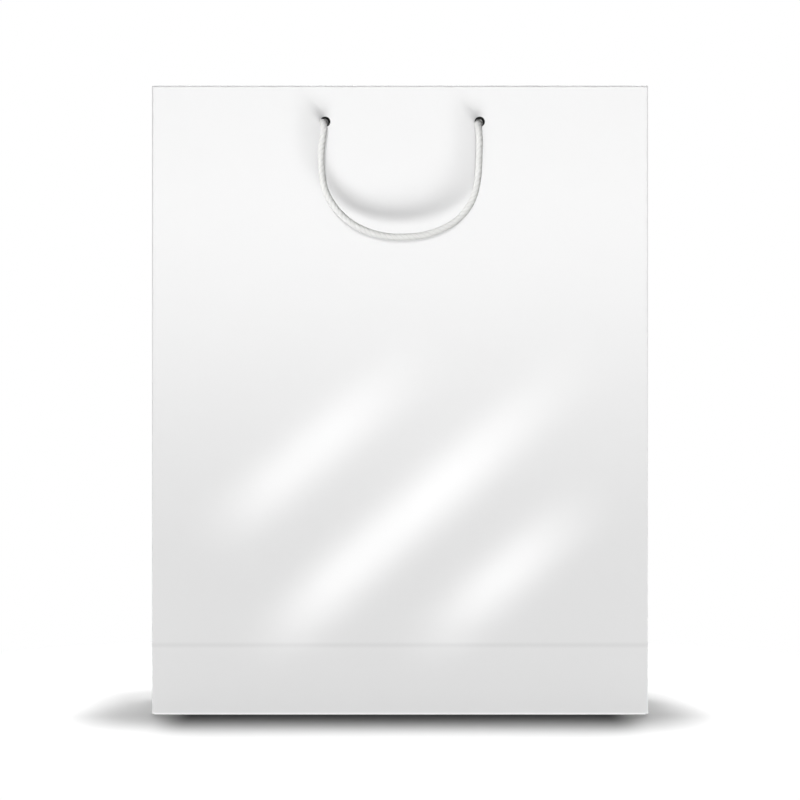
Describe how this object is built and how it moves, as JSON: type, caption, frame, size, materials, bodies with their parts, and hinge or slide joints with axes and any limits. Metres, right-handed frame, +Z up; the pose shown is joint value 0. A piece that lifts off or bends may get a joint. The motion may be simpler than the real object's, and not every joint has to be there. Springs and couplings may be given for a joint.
{
  "type": "paper carrier bag",
  "caption": "Plain glossy paper carrier bag with folded side gussets, a block bottom, a turned-in top hem and twisted cord handles knotted behind punched holes.",
  "frame": {"origin": "on what the bag stands on, under the middle of its bottom", "axes": "+X to the right along the wide front panel, -Y out of the front panel, +Z up through the open top"},
  "size_m": [0.26, 0.0968, 0.33],
  "materials": {
    "laminated_paper": "gloss",
    "strip_board": "matte",
    "bottom_board": "matte",
    "cord": "matte"
  },
  "bodies": {
    "root": {"bag_body": "laminated_paper", "front_top_card": "strip_board", "back_top_card": "strip_board", "base_card": "bottom_board", "front_cord": "cord", "back_cord": "cord", "front_left_knot": "cord", "front_right_knot": "cord", "back_left_knot": "cord", "back_right_knot": "cord"}
  },
  "joints": []
}
